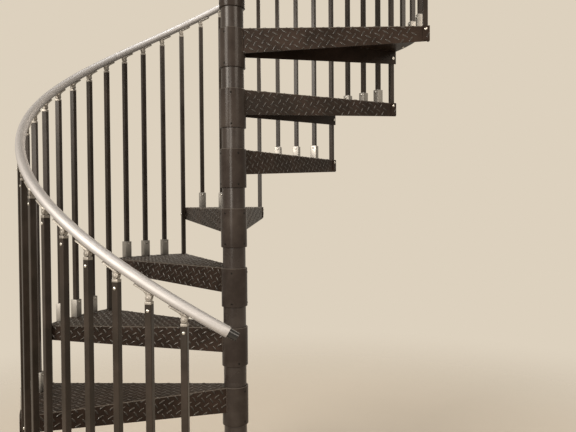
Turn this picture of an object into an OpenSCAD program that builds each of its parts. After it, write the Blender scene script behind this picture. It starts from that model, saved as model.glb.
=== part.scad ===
// Spiral staircase of folded chequer-plate treads on a central steel pole.
// The origin is the centre of the base plate's underside, on the pole's axis.
// The stair turns clockwise as it rises, and the first tread's front edge lies along -Y.
// All sizes are in millimetres.

/* [Stair] */
// Height of one rise
riser = 233.4; // [210:0.1:250]
// Angle that each tread turns, seen from above
tread_turn = 30; // [27:0.5:30]
// Radius of the treads' round outer ends
tread_r = 768; // [740:1:800]

/* [Centre pole] */
// Outer diameter of the pole
pole_d = 88.9; // [76:0.1:95]
// Wall of the pole
pole_wall = 5.5; // [3:0.1:8]
// Height of the pole's cap
cap_h = 22; // [12:1:40]
// Outer diameter of the tread hubs
hub_d = 101.6; // [100:0.1:120]
// Height of a tread's hub
hub_h = 152; // [120:1:200]
// Chamfer on the ends of the hubs and of the pole's collar
hub_edge = 1.5; // [0.5:0.5:3]
// Gap between a hub's bore and the pole
hub_gap = 0.3; // [0.2:0.1:0.8]

/* [Base plate] */
// Side of the square base plate
base_w = 254; // [200:1:320]
// Thickness of the base plate
base_t = 10; // [8:1:16]
// Spacing of the anchor holes
anchor_pitch = 200; // [160:1:240]
// Diameter of the anchor holes
anchor_d = 14; // [10:0.5:18]
// Height of the collar round the pole's foot
collar_h = 50; // [30:1:80]

/* [Treads] */
// Thickness of the chequer plate
plate_t = 3; // [2:0.5:4]
// Outer radius of the plate's folds
fold_r = 5; // [4:0.5:6]
// Depth of the front and rear faces at the hub
face_in = 100; // [80:1:120]
// Depth of the front and rear faces at the outer end
face_out = 57; // [45:1:75]
// Distance from the pole's axis to the planes of the front and rear faces
face_set = 25; // [20:1:35]
// Length of the corner tab lapped on the rear face
tab_l = 27; // [20:1:40]
// Depth of the corner tab
tab_h = 55; // [30:1:55]

/* [Balusters] */
// Side of the square tube
tube_w = 19.05; // [16:0.05:25]
// Wall of the square tube
tube_wall = 1.6; // [1:0.1:2.5]
// Outer corner radius of the square tube
tube_corner = 2; // [1:0.1:3]
// Distance of the balusters' centres inside the treads' round ends
tube_set = 16; // [16:0.5:24]
// How far a corner baluster reaches below the tread that it ends in
tube_tail = 38; // [25:1:50]
// Gap round a baluster in its hole or shoe
fit = 0.3; // [0.2:0.1:0.6]

/* [Shoes] */
// Side of a baluster's shoe
shoe_w = 31; // [28:0.5:31]
// Height of a shoe
shoe_h = 76; // [50:1:100]
// Corner radius of a shoe
shoe_corner = 3; // [1:0.5:5]
// Chamfer round a shoe's top
shoe_edge = 2; // [1:0.5:3]

/* [Handrail] */
// Diameter of the round handrail
rail_d = 31.75; // [28:0.05:36]
// Wall of the handrail tube
rail_wall = 2; // [1.5:0.1:3]
// Height of the rail's centre over the nosings
rail_over = 908; // [860:1:1000]
// Angle by which the rail runs past the first baluster
rail_start = 9; // [3:0.5:14]
// Diameter of the end plug's stub
plug_d = 25; // [18:0.5:26]
// Length of the stub outside the rail
plug_l = 28; // [15:1:40]
// How far the landing's rail runs past its first and last balusters
guard_over = 24; // [20:1:40]

/* [Rail brackets] */
// Diameter of the swivel's tongue and cheeks
swivel_d = 17.5; // [14:0.5:20]
// Diameter of the swivel's pin
pin_d = 6; // [5:0.5:8]
// Thickness of the tongue on the baluster's cap
tongue_t = 7; // [5:0.5:9]
// Thickness of each cheek under the cradle
cheek_t = 4.5; // [3:0.5:6]
// Thickness of the cradle under the rail
cradle_t = 4; // [2.5:0.5:5]
// Width of the cradle
cradle_w = 20; // [17:0.5:24]
// Length of the cradle from the pin up the slope
cradle_up = 55; // [30:1:60]
// Length of the cradle from the pin down the slope
cradle_down = 6; // [4:1:20]
// Height of the cap on the baluster's top
lid_t = 9; // [6:0.5:12]
// Length of the cap's spigot inside the baluster
spigot_l = 26; // [14:1:40]

/* [Landing] */
// Length of the landing's sides from the pole's axis
landing_l = 800; // [790:1:950]
// Depth of the landing's folded edges
landing_h = 100; // [80:1:140]
// Balusters in the landing's guard
guard_count = 7; // [6:1:8]
// Distance of the first guard baluster from the pole's axis
guard_start = 100; // [95:1:120]
// Diameter of the fixing holes in the landing's outer edges
fix_d = 11; // [9:0.5:13]
// Spacing of the fixing holes along an edge
fix_pitch = 560; // [400:10:600]
// Height between the two rows of fixing holes
fix_rise = 44; // [30:1:50]

/* [Hidden] */

tread_count = 12;
tubes_per_tread = 4;
first_angle = 270;
tube_turn = tread_turn / tubes_per_tread;
total_turn = tread_count * tread_turn;
landing_z = (tread_count + 1) * riser;

// The round parts of the pole and its hubs
round_fn = 96;
small_fn = 32;
rail_fn = 16;
rail_step = 5;

// The long shapes that repeat up the stair are nodes of this many sections
sections = 3;
past = 1;

pole_r = pole_d / 2;
hub_r = hub_d / 2;

// The landing's edges run this far inside the sides of its hub
edge_inset = 2;
edge_r = hub_r - edge_inset;
bore_r = pole_r + hub_gap;
rail_r = rail_d / 2;
tube_r = tread_r - tube_set;
pole_top = landing_z + rail_over + rail_r;

// Rise of the rail for each degree that it turns, and its slope
rail_gain = riser / tread_turn;
rail_slope = atan(rail_gain * 180 / PI / tube_r);

// Distances from the rail's centre line, square to it. The tongue turns clear of the cradle.
cradle_gap = 0.6;
swivel_gap = 0.2;
cradle_low = rail_r + cradle_gap + cradle_t;
web_h = fit + swivel_d / 2;
pin_depth = cradle_low + web_h;
spigot_w = tube_w - 2 * tube_wall - 2 * fit;
tongue_w = swivel_d - 2 * fit;

// The plugs in the rails and the cap in the pole
plug_gap = 0.3;
plug_depth = 30;
cap_flange = 3;
cap_depth = 20;

tube_half = tube_w / 2;

// The landing's guard balusters stand this far apart and this far beside the pole's axis
guard_step = (tube_r - guard_start) / (guard_count - 1);
guard_set = edge_r - fold_r - shoe_w / 2;

steel = [0.20, 0.18, 0.16];
bright = [0.78, 0.77, 0.74];

// A point at radius r on the line at angle a, set off to the line's left by t
function polar(a, r, t = 0) = [r * cos(a) - t * sin(a), r * sin(a) + t * cos(a)];

// The direction of the edge that passes point q and lies set to one side of the axis
function edge_angle(q, side, set) = atan2(q[1], q[0]) - side * asin(set / norm(q));

// The front edge passes behind the tube of the line at angle a
function front_point(a) = polar(a, tube_r - tube_half, -(tube_half + fit));

// The rear edge passes outside the tube of the line at angle a, with the plate between them
function rear_point(a) = polar(a, tube_r + tube_half, -(tube_half + fit + plate_t));

// The directions of a tread's faces from its middle line, and their length to the round outer end
front_angle = edge_angle(front_point(tread_turn / 2), 1, face_set);
rear_angle = edge_angle(rear_point(-tread_turn / 2), -1, face_set);
face_l = sqrt(tread_r * tread_r - face_set * face_set);

// Height of the rail's centre after turning by u degrees from the first nosing
function rail_z(u) = riser + rail_over + u * rail_gain;

// Depth of the pin and of the tubes' tops under the centre of a rail on a slope
function swivel_drop(slope) = pin_depth / cos(slope);
function tube_drop(slope) = swivel_drop(slope) + web_h + lid_t;

// Places children at radius r, u degrees up the stair, with x outwards and y down the stair
module at_turn(u, r = 0) {
    rotate([0, 0, first_angle - u])
        translate([r, 0, 0])
            children();
}

// A square of side w about the origin, with round corners of radius r
module round_square(w, r) {
    square([w - 2 * r, w], center = true);
    square([w, w - 2 * r], center = true);
    for (x = [-1, 1])
        for (y = [-1, 1])
            translate([x * (w / 2 - r), y * (w / 2 - r)])
                circle(r = r, $fn = small_fn);
}

// A turned ring about z, from height 0 to h, with chamfered outer edges
module turned_ring(inner, outer, h) {
    rotate_extrude($fn = round_fn)
        polygon([
            [inner, 0],
            [outer - hub_edge, 0],
            [outer, hub_edge],
            [outer, h - hub_edge],
            [outer - hub_edge, h],
            [inner, h]
        ]);
}

// A sharp fold along x, from the origin to length l, is cut back to the fold's radius
module fold_cut(l) {
    difference() {
        translate([-past, -past, -fold_r])
            cube([l + past, fold_r + past, fold_r + past]);
        translate([-2 * past, fold_r, -fold_r])
            rotate([0, 90, 0])
                cylinder(h = l + 4 * past, r = fold_r, $fn = small_fn);
    }
}

// A hub on the pole with its top at z = 0
module hub_blank() {
    translate([0, 0, -hub_h])
        turned_ring(bore_r, hub_r, hub_h);
}

module hub_bore() {
    translate([0, 0, -hub_h - past])
        cylinder(h = hub_h + 2 * past, r = bore_r, $fn = round_fn);
}

// The outline of a tread pan, set in by s from its outer faces and open at its outer end
module pan_outline(s, reach) {
    polygon([
        polar(front_angle, 0, face_set - s),
        polar(front_angle, reach, face_set - s),
        polar(rear_angle, reach, -face_set + s),
        polar(rear_angle, 0, -face_set + s)
    ]);
}

// The bottom edges of the faces rise from the hub to the outer end
module pan_taper() {
    translate([0, tread_r, 0])
        rotate([90, 0, 0])
            linear_extrude(2 * tread_r)
                polygon([
                    [0, -face_in],
                    [tread_r, -face_out],
                    [2 * tread_r, -face_out],
                    [2 * tread_r, -face_in - past],
                    [0, -face_in - past]
                ]);
}

module pan_blank() {
    reach = 1.2 * tread_r;
    intersection() {
        translate([0, 0, -face_in])
            linear_extrude(face_in)
                pan_outline(0, reach);
        translate([0, 0, -face_in - past])
            cylinder(h = face_in + 2 * past, r = tread_r, $fn = round_fn);
    }
}

// The tab closes the pan's rear corner and laps on the outside of the rear face
module corner_tab() {
    intersection() {
        rotate([0, 0, rear_angle])
            union() {
                translate([face_l - tab_l, -face_set - plate_t, -tab_h])
                    cube([tab_l + plate_t, plate_t, tab_h]);
                translate([face_l - 2 * plate_t, -face_set - plate_t, -tab_h])
                    cube([3 * plate_t, plate_t + tab_l, tab_h]);
            }
        difference() {
            translate([0, 0, -tab_h - past])
                cylinder(h = tab_h + 2 * past, r = tread_r, $fn = round_fn);
            rotate([0, 0, rear_angle])
                translate([0, -face_set, -tab_h - 2 * past])
                    cube([face_l - plate_t, face_set, tab_h + 4 * past]);
        }
    }
}

// One welded tread: the folded pan, its hub and the corner baluster's hole
module tread(n) {
    color(steel)
        at_turn((n - 0.5) * tread_turn)
            translate([0, 0, n * riser])
                difference() {
                    union() {
                        difference() {
                            pan_blank();
                            translate([0, 0, -face_in - past])
                                linear_extrude(face_in + past - plate_t)
                                    pan_outline(plate_t, 2 * tread_r);
                            pan_taper();
                            rotate([0, 0, front_angle])
                                translate([0, face_set, 0])
                                    mirror([0, 1, 0])
                                        fold_cut(tread_r);
                            rotate([0, 0, rear_angle])
                                translate([0, -face_set, 0])
                                    fold_cut(face_l - tab_l);
                        }
                        corner_tab();
                        hub_blank();
                    }
                    hub_bore();
                    rotate([0, 0, -tread_turn / 2])
                        translate([tube_r - tube_half - fit, -tube_half - fit, -plate_t - past])
                            cube([tube_w + 2 * fit, tube_w + 2 * fit, plate_t + 2 * past]);
                }
}

// A square tube from height low to height high
module square_tube(low, high) {
    translate([0, 0, low])
        linear_extrude(high - low)
            difference() {
                round_square(tube_w, tube_corner);
                square(tube_w - 2 * tube_wall, center = true);
            }
}

// The corner baluster in front of tread n, and the three that stand on it.
// The first corner baluster stands on the floor, and the others end in the tread below.
module balusters(n) {
    color(steel)
        for (k = [0:tubes_per_tread - 1]) {
            u = (n - 1) * tread_turn + k * tube_turn;
            corner_foot = n == 1 ? 0 : (n - 1) * riser - tube_tail;
            foot = k == 0 ? corner_foot : n * riser;
            at_turn(u, tube_r)
                square_tube(foot, rail_z(u) - tube_drop(rail_slope));
        }
}

// The baluster at the landing's front corner, and the guard along its open side
module landing_balusters() {
    color(steel) {
        at_turn(total_turn, tube_r)
            square_tube(landing_z - riser - tube_tail, rail_z(total_turn) - tube_drop(rail_slope));
        for (k = [0:guard_count - 1])
            at_guard(k)
                square_tube(landing_z, rail_z(total_turn) - tube_drop(0));
    }
}

// The place of guard baluster k, with x along the guard rail
module at_guard(k) {
    rotate([0, 0, first_angle - total_turn - 90])
        translate([guard_start + k * guard_step, -guard_set, 0])
            children();
}

// A cast shoe: a square socket that stands on the plate round the baluster's foot
module shoe() {
    edge = shoe_edge / sqrt(2);
    difference() {
        linear_extrude(shoe_h)
            difference() {
                round_square(shoe_w, shoe_corner);
                square(tube_w + 2 * fit, center = true);
            }
        for (a = [0:90:270])
            rotate([0, 0, a])
                translate([shoe_w / 2, 0, shoe_h])
                    rotate([0, 45, 0])
                        cube([2 * edge, 2 * shoe_w, 2 * edge], center = true);
    }
}

// The shoes of one section of the stair, and the one on the floor under the first
module shoes(part) {
    treads = tread_count / sections;
    color(bright) {
        for (n = [part * treads + 1:(part + 1) * treads])
            for (k = [1:tubes_per_tread - 1])
                at_turn((n - 1) * tread_turn + k * tube_turn, tube_r)
                    translate([0, 0, n * riser])
                        shoe();
        if (part == 0)
            at_turn(0, tube_r)
                shoe();
    }
}

module landing_shoes() {
    color(bright)
        for (k = [0:guard_count - 1])
            at_guard(k)
                translate([0, 0, landing_z])
                    shoe();
}

// The lower half of a rail bracket, about its pin: a cap and spigot in the tube, and a tongue
module bracket_base() {
    pin_l = tongue_t + 2 * swivel_gap + 2 * cheek_t;
    translate([0, 0, -web_h - lid_t])
        linear_extrude(lid_t)
            round_square(tube_w, tube_corner);
    translate([-spigot_w / 2, -spigot_w / 2, -web_h - lid_t - spigot_l])
        cube([spigot_w, spigot_w, spigot_l + past]);
    translate([-tongue_t / 2, -tongue_w / 2, -web_h - past])
        cube([tongue_t, tongue_w, web_h + past]);
    rotate([0, 90, 0]) {
        cylinder(h = tongue_t, r = tongue_w / 2, center = true, $fn = small_fn);
        cylinder(h = pin_l, r = pin_d / 2, center = true, $fn = small_fn);
    }
}

// A cheek's outline about the pin, with x along the rail and y towards its centre.
// Its round end is on the pin, and its edge sweeps up into the cradle.
module cheek_outline() {
    r = swivel_d / 2;
    difference() {
        polygon([
            [-r - web_h, web_h + cradle_t / 2],
            [cradle_down, web_h + cradle_t / 2],
            [r, 0],
            [-r, 0],
            [-r - web_h, web_h]
        ]);
        translate([-r - web_h, 0])
            circle(r = web_h, $fn = small_fn);
    }
    circle(r = r, $fn = small_fn);
}

// The upper half, about the pin: two cheeks and the cradle that the rail lies in
module bracket_saddle() {
    cheek_x = tongue_t / 2 + swivel_gap;
    difference() {
        union() {
            for (s = [-1, 1])
                translate([s * (cheek_x + cheek_t / 2), 0, 0])
                    rotate([90, 0, 90])
                        linear_extrude(cheek_t, center = true)
                            cheek_outline();
            difference() {
                translate([-cradle_w / 2, -cradle_up, web_h])
                    cube([cradle_w, cradle_up + cradle_down, cradle_low]);
                translate([0, 0, pin_depth])
                    rotate([90, 0, 0])
                        cylinder(h = 4 * cradle_up, r = rail_r + cradle_gap, center = true, $fn = round_fn);
            }
        }
        rotate([0, 90, 0])
            cylinder(h = 2 * cradle_w, r = pin_d / 2 + swivel_gap, center = true, $fn = small_fn);
    }
}

// A bracket placed by the centre of the rail over its baluster
module rail_bracket(slope) {
    translate([0, 0, -swivel_drop(slope)]) {
        bracket_base();
        rotate([-slope, 0, 0])
            bracket_saddle();
    }
}

// The brackets of one section of the stair, with the first baluster's in the first section
module rail_brackets(part) {
    tubes = tread_count * tubes_per_tread / sections;
    first = part == 0 ? 0 : part * tubes + 1;
    color(bright)
        for (k = [first:(part + 1) * tubes])
            at_turn(k * tube_turn, tube_r)
                translate([0, 0, rail_z(k * tube_turn)])
                    rail_bracket(rail_slope);
}

module landing_rail_brackets() {
    color(bright)
        for (k = [0:guard_count - 1])
            at_guard(k)
                translate([0, 0, rail_z(total_turn)])
                    rotate([0, 0, 90])
                        rail_bracket(0);
}

// A ring of points of radius r round the rail's centre line at turn u
function rail_ring(u, r) =
    let (
        a = first_angle - u,
        out = [cos(a), sin(a), 0],
        up = [-sin(a) * sin(rail_slope), cos(a) * sin(rail_slope), cos(rail_slope)],
        mid = [tube_r * cos(a), tube_r * sin(a), rail_z(u)]
    )
    [for (i = [0:rail_fn - 1]) mid + r * (cos(i * 360 / rail_fn) * out + sin(i * 360 / rail_fn) * up)];

// A helical tube from turn u0 to turn u1
module rail_tube(u0, u1) {
    steps = ceil((u1 - u0) / rail_step);
    turns = [for (i = [0:steps]) u0 + (u1 - u0) * i / steps];
    outer = [for (u = turns) each rail_ring(u, rail_r)];
    inner = [for (u = turns) each rail_ring(u, rail_r - rail_wall)];
    lift = len(outer);
    last = steps * rail_fn;
    sides = [for (s = [0:steps - 1]) for (i = [0:rail_fn - 1])
        let (j = (i + 1) % rail_fn, p = s * rail_fn, q = p + rail_fn)
        each [[p + i, p + j, q + j], [p + i, q + j, q + i]]];
    bore = [for (f = sides) [lift + f[2], lift + f[1], lift + f[0]]];
    foot = [for (i = [0:rail_fn - 1]) let (j = (i + 1) % rail_fn) [i, lift + i, lift + j, j]];
    top = [for (i = [0:rail_fn - 1]) let (j = (i + 1) % rail_fn)
        [last + i, last + j, lift + last + j, lift + last + i]];
    polyhedron(points = concat(outer, inner), faces = concat(sides, bore, foot, top), convexity = 10);
}

// One length of the rail. The lengths meet between two balusters.
module handrail(part) {
    from = part == 0 ? -rail_start : total_turn * part / sections + tube_turn / 2;
    to = part == sections - 1
        ? total_turn + rail_start / 2
        : total_turn * (part + 1) / sections + tube_turn / 2;
    color(bright)
        rail_tube(from, to);
}

// A plug that closes a rail's end: its stub points along +x and its spigot sits in the bore
module rail_plug(stub_r, stub_l) {
    spigot_r = rail_r - rail_wall - plug_gap - rail_r * (1 - cos(180 / rail_fn));
    rotate([0, 90, 0])
        cylinder(h = stub_l, r = stub_r, $fn = small_fn);
    translate([-plug_depth, 0, 0])
        rotate([0, 90, 0])
            cylinder(h = plug_depth + past, r = spigot_r, $fn = small_fn);
}

module handrail_foot_plug() {
    color("black")
        at_turn(-rail_start, tube_r)
            translate([0, 0, rail_z(-rail_start)])
                rotate([-rail_slope, 0, 0])
                    rotate([0, 0, 90])
                        rail_plug(plug_d / 2, plug_l);
}

module handrail_top_plug() {
    color("black")
        at_turn(total_turn + rail_start / 2, tube_r)
            translate([0, 0, rail_z(total_turn + rail_start / 2)])
                rotate([-rail_slope, 0, 0])
                    rotate([0, 0, -90])
                        rail_plug(rail_r, cap_flange);
}

// The straight rail over the landing's open side
module landing_rail() {
    l = (guard_count - 1) * guard_step + 2 * guard_over;
    color(bright)
        at_guard(0)
            translate([-guard_over, 0, rail_z(total_turn)])
                rotate([0, 90, 0])
                    difference() {
                        cylinder(h = l, r = rail_r, $fn = round_fn);
                        translate([0, 0, -past])
                            cylinder(h = l + 2 * past, r = rail_r - rail_wall, $fn = round_fn);
                    }
}

module landing_rail_plugs() {
    color("black") {
        at_guard(guard_count - 1)
            translate([guard_over, 0, rail_z(total_turn)])
                rail_plug(rail_r, cap_flange);
        at_guard(0)
            translate([-guard_over, 0, rail_z(total_turn)])
                mirror([1, 0, 0])
                    rail_plug(rail_r, cap_flange);
    }
}

// The direction of the landing's front edge
landing_front = edge_angle(front_point(90), 1, edge_r);

// A block of the landing's outline set in by s, from height low to height high.
// Its front edge is along y and its open side along x. Its fourth corner is cut off inside the hub.
module landing_block(s, low, high) {
    reach = 2 * landing_l;
    side = landing_l - s;
    deep = high - low;
    intersection() {
        translate([-reach, s - edge_r, low])
            cube([reach + side, edge_r - s + side, deep]);
        rotate([0, 0, landing_front])
            translate([-reach, -reach, low])
                cube([2 * reach, reach + edge_r - s, deep]);
        rotate([0, 0, 45])
            translate([s - edge_r / sqrt(2), -reach, low])
                cube([reach, 2 * reach, deep]);
    }
}

// Fixing holes through an outer edge of the landing, along x at y = 0
module fixing_holes() {
    for (x = [-1, 1])
        for (z = [-1, 1])
            translate([x * fix_pitch / 2, 0, z * fix_rise / 2])
                rotate([90, 0, 0])
                    cylinder(h = 4 * plate_t, r = fix_d / 2, center = true, $fn = small_fn);
}

module landing() {
    color(steel)
        rotate([0, 0, first_angle - total_turn - 90])
            translate([0, 0, landing_z])
                difference() {
                    union() {
                        difference() {
                            landing_block(0, -landing_h, 0);
                            landing_block(plate_t, -landing_h - past, -plate_t);
                            translate([0, -edge_r, 0])
                                fold_cut(landing_l + past);
                            translate([landing_l, -edge_r, 0])
                                rotate([0, 0, 90])
                                    fold_cut(landing_l + edge_r + past);
                            translate([landing_l, landing_l, 0])
                                rotate([0, 0, 180])
                                    fold_cut(landing_l + past);
                            rotate([0, 0, landing_front])
                                translate([0, edge_r, 0])
                                    mirror([0, 1, 0])
                                        fold_cut(2 * landing_l);
                        }
                        hub_blank();
                    }
                    hub_bore();
                    translate([landing_l / 2, landing_l, -landing_h / 2])
                        fixing_holes();
                    translate([landing_l, landing_l / 2, -landing_h / 2])
                        rotate([0, 0, 90])
                            fixing_holes();
                }
}

// The base plate with its collar and four anchor holes
module base_plate() {
    color(steel)
        difference() {
            union() {
                translate([-base_w / 2, -base_w / 2, 0])
                    cube([base_w, base_w, base_t]);
                turned_ring(bore_r, hub_r, base_t + collar_h);
            }
            for (x = [-1, 1])
                for (y = [-1, 1])
                    translate([x * anchor_pitch / 2, y * anchor_pitch / 2, -past])
                        cylinder(h = base_t + 2 * past, r = anchor_d / 2, $fn = small_fn);
        }
}

module centre_pole() {
    color(steel)
        translate([0, 0, base_t])
            difference() {
                cylinder(h = pole_top - base_t, r = pole_r, $fn = round_fn);
                translate([0, 0, -past])
                    cylinder(h = pole_top - base_t + 2 * past, r = pole_r - pole_wall, $fn = round_fn);
            }
}

// The cap is a turned disc with a stepped crown and a spigot in the pole
module pole_cap() {
    crown = pole_r - fold_r;
    color(steel)
        translate([0, 0, pole_top])
            union() {
                translate([0, 0, -cap_depth])
                    cylinder(h = cap_depth + past, r = pole_r - pole_wall - fit, $fn = round_fn);
                cylinder(h = cap_h / 2, r = pole_r + plate_t, $fn = round_fn);
                cylinder(h = cap_h, r = crown, $fn = round_fn);
            }
}

base_plate();
centre_pole();
pole_cap();
tread(1);  // tread_01
tread(2);  // tread_02
tread(3);  // tread_03
tread(4);  // tread_04
tread(5);  // tread_05
tread(6);  // tread_06
tread(7);  // tread_07
tread(8);  // tread_08
tread(9);  // tread_09
tread(10);  // tread_10
tread(11);  // tread_11
tread(12);  // tread_12
landing();
balusters(1);  // balusters_01
balusters(2);  // balusters_02
balusters(3);  // balusters_03
balusters(4);  // balusters_04
balusters(5);  // balusters_05
balusters(6);  // balusters_06
balusters(7);  // balusters_07
balusters(8);  // balusters_08
balusters(9);  // balusters_09
balusters(10);  // balusters_10
balusters(11);  // balusters_11
balusters(12);  // balusters_12
landing_balusters();
shoes(0);  // shoes_lower
shoes(1);  // shoes_middle
shoes(2);  // shoes_upper
landing_shoes();
rail_brackets(0);  // rail_brackets_lower
rail_brackets(1);  // rail_brackets_middle
rail_brackets(2);  // rail_brackets_upper
landing_rail_brackets();
handrail(0);  // handrail_lower
handrail(1);  // handrail_middle
handrail(2);  // handrail_upper
handrail_foot_plug();
handrail_top_plug();
landing_rail();
landing_rail_plugs();
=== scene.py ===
import math
import bpy
import numpy as np
from mathutils import Matrix, Vector


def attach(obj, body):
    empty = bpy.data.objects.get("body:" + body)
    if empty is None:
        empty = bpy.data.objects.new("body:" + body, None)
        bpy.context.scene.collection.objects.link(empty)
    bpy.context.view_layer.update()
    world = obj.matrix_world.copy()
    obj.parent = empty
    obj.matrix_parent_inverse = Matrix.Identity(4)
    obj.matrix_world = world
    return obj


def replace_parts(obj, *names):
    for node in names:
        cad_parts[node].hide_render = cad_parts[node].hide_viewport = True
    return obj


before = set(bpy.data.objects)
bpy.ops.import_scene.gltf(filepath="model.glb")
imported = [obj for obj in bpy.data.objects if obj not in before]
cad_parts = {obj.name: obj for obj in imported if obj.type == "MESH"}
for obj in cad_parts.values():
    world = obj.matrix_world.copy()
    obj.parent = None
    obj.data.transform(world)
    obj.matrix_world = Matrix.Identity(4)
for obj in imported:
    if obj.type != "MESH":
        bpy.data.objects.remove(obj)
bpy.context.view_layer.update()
bpy.ops.object.select_all(action="DESELECT")


# Base plate, centre pole and pole cap. The pole is one length of drawn steel tube, welded into the collar
# of a cut steel base plate. They are shot-blasted and powder-coated satin black as one piece, and the
# turned cap is pressed into the pole's top.


# Turns an sRGB hex code to the linear colour that the nodes take
def linear(code):
    parts = [int(code[i:i + 2], 16) / 255 for i in (1, 3, 5)]
    return tuple(c / 12.92 if c <= 0.04045 else ((c + 0.055) / 1.055) ** 2.4 for c in parts) + (1.0,)


# Adds one node with its settings, and sets its inputs or links them
def add(tree, kind, inputs=None, **settings):
    node = tree.nodes.new(kind)
    for name, value in settings.items():
        setattr(node, name, value)
    for name, value in (inputs or {}).items():
        if isinstance(value, bpy.types.NodeSocket):
            tree.links.new(value, node.inputs[name])
        else:
            node.inputs[name].default_value = value
    return node


# Gives a node of the frame its finish
def dress(name, material):
    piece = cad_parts[name]
    piece.data.materials.clear()
    piece.data.materials.append(material)


# Satin black polyester powder coat. It gives a dark, faintly brown black with a soft sheen, an orange peel
# about 2 mm across, clouds about 110 mm across where it was handled, and dust on faces that look up. On
# chequer plate, faces that slope upwards, as on the folds, are mixed paler: partly rubbing, partly a painted
# highlight. The lugs' crowns are rubbed paler with a little painted glint, and the hub has the column's
# tones.
clouds_per_metre, specks_per_metre = 9.0, 60.0
dust_tint, dust_dulls, handling_dulls = 0.05, 0.35, 0.16
# Painted highlight: upward slopes such as the folds are mixed paler, part rubbing and part highlight; crowns
# get rubbing with a little painted glint
fold_rub_and_highlight, crown_rub_and_glint, rubbed_and_highlight_tone = 0.4, 0.07, "#8b8379"
hub_edge, hub_blend = 0.0512, 0.0008


def powder_coat(name, tones, peel, gloss, mirror, rubbed_and_highlit=False, hub=None):
    material = bpy.data.materials.new(name)
    material.use_nodes = True
    tree = material.node_tree
    tree.nodes.clear()
    place = add(tree, "ShaderNodeTexCoord").outputs["Object"]
    cloud = add(tree, "ShaderNodeTexNoise", {
        "Vector": place, "Scale": clouds_per_metre, "Detail": 5.0, "Roughness": 0.6}).outputs["Fac"]
    handled = add(tree, "ShaderNodeMapRange", {
        "Value": cloud, "From Min": 0.42, "From Max": 0.68}).outputs["Result"]
    coat = add(tree, "ShaderNodeMix", {
        "Factor": handled, 6: linear(tones[0]), 7: linear(tones[1])}, data_type="RGBA").outputs[2]
    sheen = add(tree, "ShaderNodeMapRange", {
        "Value": cloud, "To Min": gloss, "To Max": gloss + handling_dulls}).outputs["Result"]
    if hub:
        hub_tones, hub_gloss = hub
        flat = add(tree, "ShaderNodeVectorMath", {0: place, 1: (1, 1, 0)}, operation="MULTIPLY")
        reach = add(tree, "ShaderNodeVectorMath", {0: flat.outputs["Vector"]}, operation="LENGTH")
        on_hub = add(tree, "ShaderNodeMapRange", {
            "Value": reach.outputs["Value"], "From Min": hub_edge + hub_blend,
            "From Max": hub_edge}).outputs["Result"]
        hub_coat = add(tree, "ShaderNodeMix", {
            "Factor": handled, 6: linear(hub_tones[0]), 7: linear(hub_tones[1])}, data_type="RGBA")
        coat = add(tree, "ShaderNodeMix", {
            "Factor": on_hub, 6: coat, 7: hub_coat.outputs[2]}, data_type="RGBA").outputs[2]
        sheen = add(tree, "ShaderNodeMath", {
            0: on_hub, 1: hub_gloss - gloss, 2: sheen}, operation="MULTIPLY_ADD").outputs["Value"]
    normal = add(tree, "ShaderNodeNewGeometry").outputs["Normal"]
    up = add(tree, "ShaderNodeSeparateXYZ", {"Vector": normal}).outputs["Z"]
    level = add(tree, "ShaderNodeMapRange", {"Value": up, "From Min": 0.7, "From Max": 1.0})
    speck = add(tree, "ShaderNodeTexNoise", {
        "Vector": place, "Scale": specks_per_metre, "Detail": 6.0, "Roughness": 0.7})
    dust = add(tree, "ShaderNodeMath", {
        0: level.outputs["Result"], 1: speck.outputs["Fac"]}, operation="MULTIPLY").outputs["Value"]
    thin = add(tree, "ShaderNodeMath", {0: dust, 1: dust_tint}, operation="MULTIPLY")
    tone = add(tree, "ShaderNodeMix", {
        "Factor": thin.outputs["Value"], 6: coat, 7: linear("#8a7c6c")}, data_type="RGBA")
    dull = add(tree, "ShaderNodeMath", {0: dust, 1: dust_dulls, 2: sheen}, operation="MULTIPLY_ADD")
    skin = add(tree, "ShaderNodeTexNoise", {"Vector": place, "Scale": 1000.0 / peel, "Detail": 2.0})
    bump = add(tree, "ShaderNodeBump", {
        "Height": skin.outputs["Fac"], "Strength": 0.25, "Distance": 0.0002})
    if rubbed_and_highlit:
        # Painted highlight: faces that slope upwards, as on the folds, are mixed paler, partly as rubbing and
        # partly as the highlight they catch
        slope = add(tree, "ShaderNodeMapRange", {
            "Value": up, "From Min": 0.2, "From Max": 0.5, "To Max": fold_rub_and_highlight})
        edge = add(tree, "ShaderNodeMapRange", {"Value": up, "From Min": 0.96, "From Max": 0.8})
        on_fold = add(tree, "ShaderNodeMath", {
            0: slope.outputs["Result"], 1: edge.outputs["Result"]}, operation="MULTIPLY")
        tone = add(tree, "ShaderNodeMix", {
            "Factor": on_fold.outputs["Value"], 6: tone.outputs[2], 7: linear(rubbed_and_highlight_tone)},
            data_type="RGBA")
        # The lugs' crowns are mixed paler: rubbed by shoes, with a little painted glint
        crown = add(tree, "ShaderNodeAttribute", attribute_name="crown").outputs["Fac"]
        on_crown = add(tree, "ShaderNodeMapRange", {"Value": crown, "From Min": 0.8, "To Max": crown_rub_and_glint})
        tone = add(tree, "ShaderNodeMix", {
            "Factor": on_crown.outputs["Result"], 6: tone.outputs[2], 7: linear(rubbed_and_highlight_tone)},
            data_type="RGBA")
    shader = add(tree, "ShaderNodeBsdfPrincipled", {
        "Base Color": tone.outputs[2], "Roughness": dull.outputs["Value"],
        "Normal": bump.outputs["Normal"], "IOR": 1.5, "Specular IOR Level": mirror})
    add(tree, "ShaderNodeOutputMaterial", {"Surface": shader.outputs["BSDF"]})
    return material


column_tones = "#352e2a", "#443d38"
column_coat = powder_coat("satin_black_powder_coat_on_tube", column_tones, 2.2, 0.20, 0.3)
for name in ("base_plate", "centre_pole", "pole_cap"):
    dress(name, column_coat)


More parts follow.
